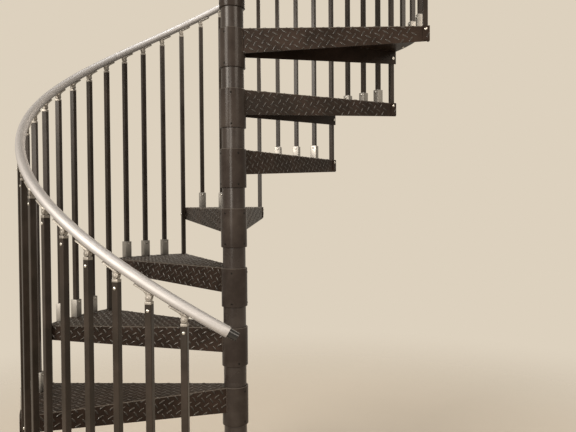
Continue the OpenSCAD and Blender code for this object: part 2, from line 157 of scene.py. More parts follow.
# Treads. Each is a sheet of 3 mm chequer plate, rolled with raised lugs, cut and folded down at the front
# and rear, with a tab lapped over the rear outer corner. It is welded to a hub that slides on the pole.
# The whole tread is powder-coated satin black.
riser, turn, treads = 0.2334, 30.0, 12
tread_r, hub_r, face_set, plate, fold = 0.768, 0.0508, 0.025, 0.003, 0.005
face_in, face_out, tab_length, tab_height = 0.100, 0.057, 0.027, 0.055
tube, tube_r, gap = 0.01905, 0.752, 0.0003
face_length = math.sqrt(tread_r ** 2 - face_set ** 2)

plate_tones, lug_tones = ("#281f19", "#382c25"), ("#1f1a16", "#2c2520")
hub_gloss = 0.12
plate_coat = powder_coat("satin_black_powder_coat_on_chequer_plate", plate_tones, 2.0, 0.30, 0.12,
                         rubbed_and_highlit=True, hub=(column_tones, hub_gloss))
lug_coat = powder_coat("satin_black_powder_coat_polished_by_shoes", lug_tones, 2.0, 0.15, 0.5, rubbed_and_highlit=True)
for n in range(1, treads + 1):
    dress(f"tread_{n:02d}", plate_coat)


# Direction of the straight edge that runs through a point and passes the axis at the distance away
def edge_angle(point, side, away):
    return math.atan2(point[1], point[0]) - side * math.asin(away / math.hypot(*point))


# The point r along a line from the axis and t across it
def line_point(degrees, r, t):
    a = math.radians(degrees)
    return r * math.cos(a) - t * math.sin(a), r * math.sin(a) + t * math.cos(a)


front_line = edge_angle(line_point(turn / 2, tube_r - tube / 2, -(tube / 2 + gap)), 1, face_set)
rear_line = edge_angle(line_point(-turn / 2, tube_r + tube / 2, -(tube / 2 + gap + plate)), -1, face_set)

# One lug of the plate's rolled pattern, 25.5 mm long and 7.2 mm wide, with pointed ends and a crown that
# stands 1.5 mm over the plate. Its height is kept as an attribute, for the crown's rub and its painted glint.
lug_points, lug_length, lug_width, lug_height, lug_pitch = 10, 0.0255, 0.0072, 0.0015, 0.0345
bpy.ops.mesh.primitive_circle_add(vertices=lug_points, radius=0.5, fill_type="NGON")
lug = bpy.context.object
bpy.ops.object.mode_set(mode="EDIT")
bpy.ops.mesh.select_all(action="SELECT")
for scale, rise in ((0.90, 0.5), (0.78, 0.35), (0.5, 0.15)):
    bpy.ops.mesh.extrude_region_move(TRANSFORM_OT_translate={"value": (0, 0, rise)})
    bpy.ops.transform.resize(value=(scale, scale ** 1.6, 1))
bpy.ops.mesh.select_all(action="SELECT")
bpy.ops.mesh.normals_make_consistent(inside=False)
bpy.ops.object.mode_set(mode="OBJECT")
crown = lug.data.attributes.new("crown", "FLOAT", "POINT")
for vertex in lug.data.vertices:
    crown.data[vertex.index].value = vertex.co.z
    bulge = min(1, abs(vertex.co.y) * 2)
    vertex.co = (vertex.co.x * lug_length, math.copysign(bulge ** 1.2, vertex.co.y) * lug_width / 2,
                 vertex.co.z * lug_height)
lug_size = len(lug.data.vertices)


# A flat sheet of lugs between two corners. The pattern is two square grids of lugs at right angles, with
# each grid's lugs halfway between the other's.
def chequer_sheet(name, low, high):
    grids = []
    for angle, shift in ((math.radians(45), 0.0), (math.radians(-45), lug_pitch / 2)):
        bpy.ops.object.select_all(action="DESELECT")
        lug.select_set(True)
        bpy.context.view_layer.objects.active = lug
        bpy.ops.object.duplicate()
        grid = bpy.context.object
        start = [math.floor(c / lug_pitch) * lug_pitch + shift for c in low]
        grid.data.transform(Matrix.Translation((start[0], start[1], 0)) @ Matrix.Rotation(angle, 4, "Z"))
        for axis in (0, 1):
            rows = grid.modifiers.new("rows", "ARRAY")
            rows.count = math.ceil((high[axis] - low[axis]) / lug_pitch) + 1
            rows.use_relative_offset = False
            rows.use_constant_offset = True
            rows.constant_offset_displace = [lug_pitch if k == axis else 0 for k in range(3)]
            bpy.ops.object.modifier_apply(modifier="rows")
        grids.append(grid)
    for grid in grids:
        grid.select_set(True)
    bpy.context.view_layer.objects.active = grids[0]
    bpy.ops.object.join()
    sheet = bpy.context.object
    sheet.name = name
    return sheet


# Folds a flat sheet of lugs down over the plate's edges. A fold is (direction of the edge, side of it that
# goes down, distance from the axis, start of the corner tab along it). Lugs past an edge end there, those
# that lose most of their points go, and so do those that would stand across the tab's edge.
lug_edge, most_lost, no_tab = 0.0004, 0.62, 9.0
bare_before_tab, bare_after_tab = 0.021, 0.002


def fold_sheet(sheet, folds, depth_at, trim):
    count = len(sheet.data.vertices)
    flat = np.empty(count * 3)
    sheet.data.vertices.foreach_get("co", flat)
    flat = flat.reshape(-1, lug_size, 3)
    made = flat.copy()
    lost = np.zeros(flat.shape[:2], bool)
    folded = np.zeros(flat.shape[:2], int)
    for direction, side, reach, tab in folds:
        along = np.array([math.cos(direction), math.sin(direction)])
        out = np.array([-along[1], along[0]]) * side
        x = flat[..., :2] @ along
        t = flat[..., :2] @ out
        h = flat[..., 2]
        past = t - (reach - fold)
        bend = past > 0
        folded += bend
        angle = np.clip(past / fold, 0, math.pi / 2)
        drop = np.maximum(past - fold * math.pi / 2, 0)
        new_t = reach - fold + (fold + h) * np.sin(angle)
        new_z = -fold + (fold + h) * np.cos(angle) - drop
        limit = depth_at(x, along)
        lost |= bend & (-new_z > limit)
        new_z = np.where(bend, np.maximum(new_z, -limit), new_z)
        lapped = bend & (x > tab) & (-new_z < tab_height)
        new_t = np.where(lapped, new_t + plate, new_t)
        bare = lapped.any(axis=1) & ~(lapped & (-new_z > fold)).all(axis=1)
        near_tab = (x > tab - bare_before_tab).any(axis=1) & (x < tab + bare_after_tab).any(axis=1)
        bare |= bend.any(axis=1) & near_tab
        lost |= bare[:, None]
        place = x[..., None] * along + new_t[..., None] * out
        made[..., :2] = np.where(bend[..., None], place, made[..., :2])
        made[..., 2] = np.where(bend, new_z, made[..., 2])
    lost |= folded > 1
    lost |= trim(made)
    keep = (lost.mean(axis=1) < most_lost) & (folded.max(axis=1) < 2)
    sheet.data.vertices.foreach_set("co", made.reshape(-1))
    doomed = np.repeat(~keep, lug_size)
    bpy.ops.object.select_all(action="DESELECT")
    sheet.select_set(True)
    bpy.context.view_layer.objects.active = sheet
    bpy.ops.object.mode_set(mode="EDIT")
    bpy.ops.mesh.select_mode(type="VERT")
    bpy.ops.mesh.select_all(action="DESELECT")
    bpy.ops.object.mode_set(mode="OBJECT")
    sheet.data.vertices.foreach_set("select", doomed)
    bpy.ops.object.mode_set(mode="EDIT")
    bpy.ops.mesh.delete(type="VERT")
    bpy.ops.object.mode_set(mode="OBJECT")
    bpy.ops.object.shade_smooth_by_angle(angle=math.radians(70))


def tread_depth(x, along):
    return face_in - (face_in - face_out) * (x * along[0]) / tread_r - lug_edge


hub_clear, rim = 0.001, tread_r - gap


def tread_trim(made):
    reach = np.hypot(made[..., 0], made[..., 1])
    outside = reach > rim
    scale = np.where(outside, rim / np.maximum(reach, 1e-6), 1.0)
    made[..., :2] *= scale[..., None]
    return outside | (reach < hub_r + hub_clear) | (made[..., 0] < 0)


half_breadth = 0.29
tread_lugs = chequer_sheet("tread_lugs", (0.0, -half_breadth), (tread_r, half_breadth))
tread_folds = [(front_line, 1, face_set, no_tab), (rear_line, -1, face_set, face_length - tab_length)]
fold_sheet(tread_lugs, tread_folds, tread_depth, tread_trim)
tread_lugs.data.materials.append(lug_coat)


# A finished copy of each model at each place, joined into one piece of the object
def set_out(name, models, places):
    copies = []
    for place in places:
        for model in models:
            copy = model.copy()
            copy.data = model.data.copy()
            copy.data.transform(place)
            bpy.context.scene.collection.objects.link(copy)
            copies.append(copy)
    bpy.ops.object.select_all(action="DESELECT")
    for copy in copies:
        copy.select_set(True)
    bpy.context.view_layer.objects.active = copies[0]
    if len(copies) > 1:
        bpy.ops.object.join()
    piece = bpy.context.object
    piece.name = name
    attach(piece, "root")
    return piece


# Places on the stair: u degrees up from the first nosing, with x outwards and y down the stair
def at_turn(u, r=0.0, z=0.0):
    return Matrix.Rotation(math.radians(270 - u), 4, "Z") @ Matrix.Translation((r, 0, z))


for n in range(1, treads + 1):
    set_out(f"tread_{n:02d}_lugs", [tread_lugs], [at_turn((n - 0.5) * turn, 0, n * riser)])
bpy.data.objects.remove(tread_lugs)

# An upright fillet weld joins the end of each face to the hub: a row of ripples 2.6 mm apart, under the coat
ripple, weld_r, weld_set = 0.0026, 0.0036, 0.0012
bpy.ops.mesh.primitive_uv_sphere_add(segments=10, ring_count=6, radius=weld_r)
weld = bpy.context.object
weld.scale = (1.0, 1.0, 0.8)
bpy.ops.object.transform_apply(location=True, rotation=True, scale=True)
row = weld.modifiers.new("row", "ARRAY")
row.count = round((face_in - 2 * fold) / ripple)
row.use_relative_offset = False
row.use_constant_offset = True
row.constant_offset_displace = (0, 0, -ripple)
bpy.ops.object.modifier_apply(modifier="row")
bpy.ops.object.shade_smooth_by_angle(angle=math.radians(60))
weld.data.materials.append(plate_coat)
weld_along = math.sqrt(hub_r ** 2 - face_set ** 2) - weld_set
weld_places = []
for n in range(1, treads + 1):
    for line, side in ((front_line, 1), (rear_line, -1)):
        x, y = line_point(math.degrees(line), weld_along, side * (face_set + weld_set))
        weld_places.append(at_turn((n - 0.5) * turn, 0, n * riser) @ Matrix.Translation((x, y, -fold)))
set_out("tread_welds", [weld], weld_places)
bpy.data.objects.remove(weld)


# Landing. The same chequer plate, cut square and folded down on all four sides. It is welded to the top hub
# at its inner corner, and powder-coated with it.
landing_length, landing_height, edge_r = 0.800, 0.100, 0.0488
landing_z = (treads + 1) * riser
dress("landing", plate_coat)
landing_line = edge_angle(line_point(90, tube_r - tube / 2, -(tube / 2 + gap)), 1, edge_r)


def landing_trim(made):
    reach = np.hypot(made[..., 0], made[..., 1])
    return (reach < hub_r + hub_clear) | (made[..., 0] + made[..., 1] < -edge_r)


landing_lugs = chequer_sheet("landing_lugs_sheet", (-0.18, -0.16), (0.92, 0.92))
landing_folds = [(0.0, -1, edge_r, no_tab), (math.pi / 2, -1, landing_length, no_tab),
                 (0.0, 1, landing_length, no_tab), (landing_line, 1, edge_r, no_tab)]
fold_sheet(landing_lugs, landing_folds, lambda x, along: landing_height - lug_edge, landing_trim)
landing_lugs.data.materials.append(lug_coat)
set_out("landing_lugs", [landing_lugs], [at_turn(treads * turn + 90, 0, landing_z)])
bpy.data.objects.remove(landing_lugs)
bpy.data.objects.remove(lug)


# Small screws and bolts of steel, each with a pressed recess in its head. Bright zinc-plated bolts hold each
# corner baluster to the tread behind it, zinc-plated screws hold shoes, brackets and the balusters' feet,
# and the set screws in the hubs are black oxide.
stains_per_metre = 22.0


# A bare or plated metal, with a grain of its own size in millimetres and faint stains about 45 mm across
def metal(name, colours, rough, grain, bump_height):
    material = bpy.data.materials.new(name)
    material.use_nodes = True
    tree = material.node_tree
    tree.nodes.clear()
    place = add(tree, "ShaderNodeTexCoord").outputs["Object"]
    grit = add(tree, "ShaderNodeTexNoise", {"Vector": place, "Scale": 1000.0 / grain, "Detail": 3.0})
    stain = add(tree, "ShaderNodeTexNoise", {
        "Vector": place, "Scale": stains_per_metre, "Detail": 5.0, "Roughness": 0.65}).outputs["Fac"]
    tone = add(tree, "ShaderNodeMix", {
        "Factor": stain, 6: linear(colours[0]), 7: linear(colours[1])}, data_type="RGBA")
    dull = add(tree, "ShaderNodeMapRange", {
        "Value": stain, "From Min": 0.3, "From Max": 0.7, "To Min": rough[0], "To Max": rough[1]})
    bump = add(tree, "ShaderNodeBump", {
        "Height": grit.outputs["Fac"], "Strength": 0.5, "Distance": bump_height})
    shader = add(tree, "ShaderNodeBsdfPrincipled", {
        "Base Color": tone.outputs[2], "Roughness": dull.outputs["Result"],
        "Normal": bump.outputs["Normal"], "Metallic": 1.0})
    add(tree, "ShaderNodeOutputMaterial", {"Surface": shader.outputs["BSDF"]})
    return material


zinc = metal("bright_zinc_plated_steel", ("#d9d6cf", "#c4c1ba"), (0.22, 0.34), 0.8, 0.00005)
oxide = metal("black_oxide_steel", ("#2a2825", "#1b1a18"), (0.35, 0.5), 0.8, 0.00005)


# A head looks along +x, with its seat at x = 0
def screw_head(name, radius, rise, material, sides=20):
    bpy.ops.mesh.primitive_cylinder_add(vertices=sides, radius=radius, depth=rise * 0.4,
                                        location=(0, 0, rise * 0.2))
    head = bpy.context.object
    head.name = name
    bpy.ops.object.transform_apply(location=True, rotation=True, scale=True)
    bpy.ops.object.mode_set(mode="EDIT")
    bpy.ops.mesh.select_mode(type="FACE")
    bpy.ops.mesh.select_all(action="DESELECT")
    bpy.ops.object.mode_set(mode="OBJECT")
    for face in head.data.polygons:
        face.select = face.normal.z > 0.9
    bpy.ops.object.mode_set(mode="EDIT")
    for scale, lift in ((0.93, 0.28), (0.72 / 0.93, 0.22), (0.46 / 0.93, 0.10)):
        bpy.ops.mesh.extrude_region_move(TRANSFORM_OT_translate={"value": (0, 0, rise * lift)})
        bpy.ops.transform.resize(value=(scale, scale, 1))
    bpy.ops.mesh.extrude_region_move(TRANSFORM_OT_translate={"value": (0, 0, -rise * 0.5)})
    bpy.ops.transform.resize(value=(0.8, 0.8, 1))
    bpy.ops.object.mode_set(mode="OBJECT")
    bpy.ops.object.shade_smooth_by_angle(angle=math.radians(35))
    head.data.transform(Matrix.Rotation(math.radians(90), 4, "Y"))
    head.data.materials.append(material)
    return head


pan_head = screw_head("pan_head", 0.0048, 0.0030, zinc)
bolt_head = screw_head("bolt_head", 0.0064, 0.0042, zinc)
set_screw = screw_head("set_screw", 0.0036, 0.0012, oxide, 12)
nut_r, nut_height = 0.0072, 0.005
bpy.ops.mesh.primitive_cylinder_add(vertices=6, radius=nut_r, depth=nut_height,
                                    location=(nut_height / 2, 0, 0), rotation=(0, math.radians(90), 0))
nut = bpy.context.object
bpy.ops.object.transform_apply(location=True, rotation=True, scale=True)
chamfer = nut.modifiers.new("chamfer", "BEVEL")
chamfer.width, chamfer.segments = 0.0006, 2
bpy.ops.object.modifier_apply(modifier="chamfer")
nut.data.materials.append(zinc)

down_stair = Matrix.Rotation(math.radians(90), 4, "Z")
up_stair = Matrix.Rotation(math.radians(-90), 4, "Z")
bolt_drop, tail_drop, nut_seat, screw_seat = 0.034, 0.0125, 0.0004, 0.0003
corner_places, nut_places, tail_places = [], [], []
for n in range(1, treads + 2):
    corner = at_turn((n - 1) * turn, tube_r, n * riser - bolt_drop)
    corner_places.append(corner @ Matrix.Translation((0, tube / 2, 0)) @ down_stair)
    nut_places.append(corner @ Matrix.Translation((0, -tube / 2 - gap - plate - nut_seat, 0)) @ up_stair)
    if n <= treads:
        tail = at_turn(n * turn, tube_r, n * riser - tail_drop)
        seat = -tube / 2 - gap - 2 * plate - screw_seat
        tail_places.append(tail @ Matrix.Translation((0, seat, 0)) @ up_stair)
set_out("corner_bolts", [bolt_head], corner_places)
set_out("corner_nuts", [nut], nut_places)
set_out("corner_foot_screws", [bolt_head], tail_places)

# Two columns of set screws clamp each hub to the pole, on the side away from the tread
hub_height, clamp_angle, clamp_top, clamp_foot = 0.152, 133, 0.018, 0.014
clamp_places = []
for n in range(1, treads + 2):
    middle = (n - 0.5) * turn if n <= treads else treads * turn + 45
    for side in (-clamp_angle, clamp_angle):
        for drop in (clamp_top, hub_height - clamp_foot):
            around = at_turn(middle, 0, n * riser - drop) @ Matrix.Rotation(math.radians(side), 4, "Z")
            clamp_places.append(around @ Matrix.Translation((hub_r, 0, 0)))
set_out("hub_set_screws", [set_screw], clamp_places)


# Balusters. Square steel tube, 19 mm with a 1.6 mm wall and a 2 mm corner radius, cut to length and
# powder-coated satin black. Corner balusters join two treads, and the others stand in shoes.
tube_coat = powder_coat("satin_black_powder_coat_on_square_tube", ("#2a231c", "#382f28"), 1.8, 0.26, 0.3)
for n in range(1, treads + 1):
    dress(f"balusters_{n:02d}", tube_coat)
dress("landing_balusters", tube_coat)


# Shoes. Each intermediate baluster stands in a square socket, cast in aluminium and bead-blasted. It is
# bolted to the plate from below, and a pan-head screw near its top holds the tube.
shoe_width, shoe_height, shoe_round, socket_depth, shoe_screw_drop = 0.031, 0.076, 0.0018, 0.006, 0.011
per_tread, treads_per_group = 4, 4
cast = metal("bead_blasted_cast_aluminium", ("#b3b0ab", "#96928c"), (0.42, 0.56), 0.9, 0.00025)
bpy.ops.mesh.primitive_cube_add(size=1, location=(0, 0, shoe_height / 2),
                                scale=(shoe_width, shoe_width, shoe_height))
shoe = bpy.context.object
bpy.ops.object.transform_apply(location=True, rotation=True, scale=True)
bpy.ops.object.mode_set(mode="EDIT")
bpy.ops.mesh.select_mode(type="FACE")
bpy.ops.mesh.select_all(action="DESELECT")
bpy.ops.object.mode_set(mode="OBJECT")
for face in shoe.data.polygons:
    face.select = face.normal.z > 0.9
bpy.ops.object.mode_set(mode="EDIT")
bpy.ops.mesh.inset(thickness=(shoe_width - tube) / 2 - gap)
bpy.ops.mesh.extrude_region_move(TRANSFORM_OT_translate={"value": (0, 0, -socket_depth)})
bpy.ops.object.mode_set(mode="OBJECT")
rounding = shoe.modifiers.new("rounding", "BEVEL")
rounding.width, rounding.segments, rounding.limit_method = shoe_round, 3, "ANGLE"
bpy.ops.object.modifier_apply(modifier="rounding")
bpy.ops.object.shade_smooth_by_angle(angle=math.radians(40))
shoe.data.materials.append(cast)


# Seven tubes guard the landing's open side, the first of them 0.1 m from the axis
guard_first, guard_tubes = 0.1, 7


def guard_place(k, z):
    step = (tube_r - guard_first) / (guard_tubes - 1)
    side = edge_r - fold - shoe_width / 2
    return Matrix.Rotation(math.radians(180), 4, "Z") @ Matrix.Translation((guard_first + k * step, -side, z))


shoe_groups = {"shoes_lower": [at_turn(0, tube_r, 0)], "shoes_middle": [], "shoes_upper": []}
for n in range(1, treads + 1):
    group = shoe_groups[("shoes_lower", "shoes_middle", "shoes_upper")[(n - 1) // treads_per_group]]
    for k in range(1, per_tread):
        group.append(at_turn((n - 1) * turn + k * turn / per_tread, tube_r, n * riser))
shoe_groups["landing_shoes"] = [guard_place(k, landing_z) @ Matrix.Rotation(math.radians(-90), 4, "Z")
                                for k in range(guard_tubes)]
for name, places in shoe_groups.items():
    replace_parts(set_out("cast_" + name, [shoe], places), name)
    inner = Matrix.Translation((-shoe_width / 2, 0, shoe_height - shoe_screw_drop))
    inner = inner @ Matrix.Rotation(math.pi, 4, "Z")
    under = Matrix.Translation((0, 0, -plate)) @ Matrix.Rotation(math.radians(90), 4, "Y")
    on_plate = places[1:] if name == "shoes_lower" else places
    set_out(name + "_screws", [pan_head], [place @ inner for place in places])
    set_out(name + "_bolts", [bolt_head], [place @ under for place in on_plate])


# Handrail. Extruded aluminium tube, 1.25 inch in diameter with a 2 mm wall, rolled to the stair's helix in
# three lengths that meet end to end, and satin-finished along its length.
rail_r, rail_wall, rail_over, rail_start = 0.015875, 0.002, 0.908, 9.0
first_joint, second_joint, step_angle = 123.75, 243.75, 1.25
rail_gain = riser / turn
rail_slope = math.atan(rail_gain * 180 / math.pi / tube_r)


def rail_z(u):
    return riser + rail_over + u * rail_gain


# The metal is bright and slightly warm. The finishing belt leaves fine lines along the tube, about 0.6 mm
# apart, drawn 2 mm apart so that they show.
lines_along, lines_across, smudges_per_metre = 6.0, 500.0, 14.0


def satin_rail():
    material = bpy.data.materials.new("satin_finished_aluminium_tube")
    material.use_nodes = True
    tree = material.node_tree
    tree.nodes.clear()
    lay = add(tree, "ShaderNodeAttribute", attribute_name="lay").outputs["Vector"]
    stretched = add(tree, "ShaderNodeMapping", {
        "Vector": lay, "Scale": (lines_along, lines_across, lines_across)}).outputs["Vector"]
    lines = add(tree, "ShaderNodeTexNoise", {
        "Vector": stretched, "Scale": 1.0, "Detail": 3.0, "Roughness": 0.6}).outputs["Fac"]
    smudge = add(tree, "ShaderNodeTexNoise", {
        "Vector": lay, "Scale": smudges_per_metre, "Detail": 5.0, "Roughness": 0.6}).outputs["Fac"]
    tone = add(tree, "ShaderNodeMix", {
        "Factor": smudge, 6: linear("#cdcbcb"), 7: linear("#bbb9b9")}, data_type="RGBA")
    worn = add(tree, "ShaderNodeMath", {0: lines, 1: smudge}, operation="ADD")
    dull = add(tree, "ShaderNodeMapRange", {
        "Value": worn.outputs["Value"], "From Min": 0.6, "From Max": 1.4, "To Min": 0.56, "To Max": 0.7})
    bump = add(tree, "ShaderNodeBump", {"Height": lines, "Strength": 0.06, "Distance": 0.0002})
    shader = add(tree, "ShaderNodeBsdfPrincipled", {
        "Base Color": tone.outputs[2], "Roughness": dull.outputs["Result"],
        "Normal": bump.outputs["Normal"], "Metallic": 1.0})
    add(tree, "ShaderNodeOutputMaterial", {"Surface": shader.outputs["BSDF"]})
    return material


rail_metal = satin_rail()


# Keeps each point's place along the tube and across it, for the lines of the finish
def lay_along(piece, length_at, round_at):
    lay = piece.data.attributes.new("lay", "FLOAT_VECTOR", "POINT")
    for vertex in piece.data.vertices:
        lay.data[vertex.index].vector = (length_at(vertex.co), *round_at(vertex.co))


# Gives a swept or straight tube its wall, eased ends and finish, and puts it in its node's place
def finish_rail(piece, name, node):
    wall = piece.modifiers.new("wall", "SOLIDIFY")
    wall.thickness, wall.offset = rail_wall, -1
    bpy.ops.object.modifier_apply(modifier="wall")
    eased = piece.modifiers.new("eased_ends", "BEVEL")
    eased.width, eased.segments = 0.0006, 2
    eased.limit_method, eased.angle_limit = "ANGLE", math.radians(60)
    bpy.ops.object.modifier_apply(modifier="eased_ends")
    bpy.ops.object.shade_smooth_by_angle(angle=math.radians(40))
    piece.name = name
    piece.data.materials.append(rail_metal)
    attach(piece, "root")
    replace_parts(piece, node)


def helix_length(co):
    return (co.z - riser) / math.sin(rail_slope)


def helix_round(co):
    u = -math.degrees(math.atan2(co.x, -co.y))
    turns = round(((co.z - riser - rail_over) / rail_gain - u) / 360)
    return math.hypot(co.x, co.y) - tube_r, (co.z - rail_z(u + 360 * turns)) * math.cos(rail_slope)


rail_lengths = (("rail_foot_length", "handrail_lower", -rail_start, first_joint),
                ("rail_middle_length", "handrail_middle", first_joint, second_joint),
                ("rail_top_length", "handrail_upper", second_joint, 360 + rail_start / 2))
for name, node, start, end in rail_lengths:
    bpy.ops.mesh.primitive_circle_add(vertices=40, radius=rail_r)
    rail = bpy.context.object
    across = Matrix.Rotation(math.pi / 2 - rail_slope, 4, "X")
    rail.data.transform(at_turn(start, tube_r, rail_z(start)) @ across)
    sweep = rail.modifiers.new("sweep", "SCREW")
    sweep.axis = "Z"
    sweep.angle = -math.radians(end - start)
    sweep.screw_offset = (end - start) * rail_gain
    sweep.steps = sweep.render_steps = round((end - start) / step_angle)
    sweep.use_merge_vertices = False
    bpy.ops.object.modifier_apply(modifier="sweep")
    bpy.ops.object.mode_set(mode="EDIT")
    bpy.ops.mesh.select_all(action="SELECT")
    bpy.ops.mesh.normals_make_consistent(inside=False)
    bpy.ops.object.mode_set(mode="OBJECT")
    lay_along(rail, helix_length, helix_round)
    finish_rail(rail, name, node)

# The landing's guard has a straight length of the same tube, which stands 24 mm past its end tubes
guard_over = 0.024
guard_start, guard_end = guard_first - guard_over, tube_r + guard_over
bpy.ops.mesh.primitive_cylinder_add(vertices=40, radius=rail_r, depth=guard_end - guard_start,
                                    end_fill_type="NOTHING", location=((guard_start + guard_end) / 2, 0, 0),
                                    rotation=(0, math.pi / 2, 0))
guard_rail = bpy.context.object
bpy.ops.object.transform_apply(location=True, rotation=True, scale=True)
lay_along(guard_rail, lambda co: co.x, lambda co: (co.y, co.z))
guard_rail.data.transform(guard_place(0, rail_z(360)) @ Matrix.Translation((-guard_first, 0, 0)))
finish_rail(guard_rail, "guard_rail_length", "landing_rail")


# End plugs. Moulded black polyethylene plugs close the rails: a stub on the lower end, and flat flanged caps
# elsewhere. It gives a soft black that scuffs paler, with the mould's fine grain.
plastic = bpy.data.materials.new("moulded_black_polyethylene")
plastic.use_nodes = True
tree = plastic.node_tree
tree.nodes.clear()
place = add(tree, "ShaderNodeTexCoord").outputs["Object"]
grains_per_metre, scuffs_per_metre = 1500.0, 120.0
mould = add(tree, "ShaderNodeTexNoise", {"Vector": place, "Scale": grains_per_metre, "Detail": 2.0})
scuff = add(tree, "ShaderNodeTexNoise", {"Vector": place, "Scale": scuffs_per_metre, "Detail": 4.0})
tone = add(tree, "ShaderNodeMix", {
    "Factor": scuff.outputs["Fac"], 6: linear("#1a1918"), 7: linear("#2b2927")}, data_type="RGBA")
dull = add(tree, "ShaderNodeMapRange", {"Value": scuff.outputs["Fac"], "To Min": 0.10, "To Max": 0.26})
bump = add(tree, "ShaderNodeBump", {"Height": mould.outputs["Fac"], "Strength": 0.3, "Distance": 0.0001})
shader = add(tree, "ShaderNodeBsdfPrincipled", {
    "Base Color": tone.outputs[2], "Roughness": dull.outputs["Result"], "Normal": bump.outputs["Normal"],
    "IOR": 1.5})
add(tree, "ShaderNodeOutputMaterial", {"Surface": shader.outputs["BSDF"]})
for name in ("handrail_foot_plug", "handrail_top_plug", "landing_rail_plugs"):
    dress(name, plastic)


# Rail brackets. Cast aluminium swivels, tumbled to a soft sheen. A cap with a tongue is driven into each
# baluster's top. Two cheeks riveted to the tongue carry a thin cradle, screwed to the rail's underside.
cradle_gap, cradle_t, cradle_up, cradle_down, cradle_w = 0.0006, 0.004, 0.055, 0.006, 0.020
swivel_r, tongue_t, cheek_t, swivel_gap, cap_h = 0.00875, 0.007, 0.0045, 0.0002, 0.009
web_h = gap + swivel_r
pin_depth = rail_r + cradle_gap + cradle_t + web_h

# The cradle is cast 1.4 mm fuller than the frame's plain one, and narrows by 45% over its last 9 mm. The
# cheeks run out into it in a sweep of 18 mm.
cradle_swell, cradle_nose, cradle_taper, web_sweep = 0.0014, 0.009, 0.45, 0.018
bracket_cast = metal("tumbled_cast_aluminium", ("#aca7a0", "#928d86"), (0.44, 0.58), 1.2, 0.00018)


# Rounds a casting's edges and gives it its finish
def soften(piece, width, segments, degrees):
    bpy.context.view_layer.objects.active = piece
    edge = piece.modifiers.new("edge", "BEVEL")
    edge.width, edge.segments = width, segments
    edge.limit_method, edge.angle_limit = "ANGLE", math.radians(degrees)
    bpy.ops.object.modifier_apply(modifier="edge")
    bpy.ops.object.shade_smooth_by_angle(angle=math.radians(40))
    piece.data.materials.append(bracket_cast)


# The bracket is modelled about its pin, with the cradle's half turned to the rail's slope, and then set down
# so that its origin lies on the rail's axis. The drop from there to the cap's foot is returned with it.
def bracket(slope):
    parts = []
    bpy.ops.mesh.primitive_cube_add(size=1, location=(0, 0, -web_h - cap_h / 2), scale=(tube, tube, cap_h))
    cap = bpy.context.object
    bpy.ops.object.transform_apply(location=True, rotation=True, scale=True)
    soften(cap, 0.0014, 3, 60)
    bpy.ops.mesh.primitive_cylinder_add(vertices=28, radius=swivel_r - gap, depth=tongue_t,
                                        rotation=(0, math.pi / 2, 0))
    tongue = bpy.context.object
    bpy.ops.object.transform_apply(location=True, rotation=True, scale=True)
    for vertex in tongue.data.vertices:
        if vertex.co.z < -0.0001:
            vertex.co.z = -web_h - 0.001
    soften(tongue, 0.0005, 2, 60)
    parts += [cap, tongue]
    outline = [(-swivel_r - web_sweep + web_sweep * math.sin(a), web_h * math.cos(a))
               for a in [math.radians(90 * k / 10) for k in range(11)]]
    outline += [(-swivel_r * math.cos(a), -swivel_r * math.sin(a))
                for a in [math.radians(180 * k / 18) for k in range(1, 19)]]
    outline += [(cradle_down, web_h + cradle_t / 2), (-swivel_r - web_sweep, web_h + cradle_t / 2)]
    tilt = Matrix.Rotation(-slope, 4, "X")
    for side in (-1, 1):
        bpy.ops.mesh.primitive_circle_add(vertices=len(outline), radius=1, fill_type="NGON")
        cheek = bpy.context.object
        for vertex, (along, up) in zip(cheek.data.vertices, outline):
            vertex.co = (side * (tongue_t / 2 + swivel_gap), along, up)
        bpy.ops.object.mode_set(mode="EDIT")
        bpy.ops.mesh.select_all(action="SELECT")
        bpy.ops.mesh.extrude_region_move(TRANSFORM_OT_translate={"value": (side * cheek_t, 0, 0)})
        bpy.ops.mesh.select_all(action="SELECT")
        bpy.ops.mesh.normals_make_consistent(inside=False)
        bpy.ops.object.mode_set(mode="OBJECT")
        cheek.data.transform(tilt)
        soften(cheek, 0.0007, 2, 50)
        parts.append(cheek)
    bpy.ops.mesh.primitive_grid_add(x_subdivisions=12, y_subdivisions=20, size=1)
    cradle = bpy.context.object
    bed = rail_r + cradle_gap
    for vertex in cradle.data.vertices:
        along = -cradle_up + (vertex.co.y + 0.5) * (cradle_up + cradle_down)
        left = min(along + cradle_up, cradle_down - along)
        half = cradle_w / 2 * (1 - cradle_taper * max(0.0, 1 - left / cradle_nose) ** 2)
        angle = 2 * vertex.co.x * math.asin(half / bed)
        vertex.co = (bed * math.sin(angle), along, pin_depth - bed * math.cos(angle))
    skin = cradle.modifiers.new("skin", "SOLIDIFY")
    skin.thickness, skin.offset = cradle_t + cradle_swell, -1
    bpy.ops.object.modifier_apply(modifier="skin")
    cradle.data.transform(tilt)
    soften(cradle, 0.0008, 2, 50)
    parts.append(cradle)
    for side in (-1, 1):
        head = rivet.copy()
        head.data = rivet.data.copy()
        bpy.context.scene.collection.objects.link(head)
        head.data.transform(Matrix.Translation((side * (tongue_t / 2 + swivel_gap + cheek_t), 0, 0))
                            @ Matrix.Rotation(0 if side > 0 else math.pi, 4, "Z"))
        parts.append(head)
    for part in parts:
        part.data.transform(Matrix.Translation((0, 0, -pin_depth / math.cos(slope))))
    return parts, pin_depth / math.cos(slope) + web_h + cap_h


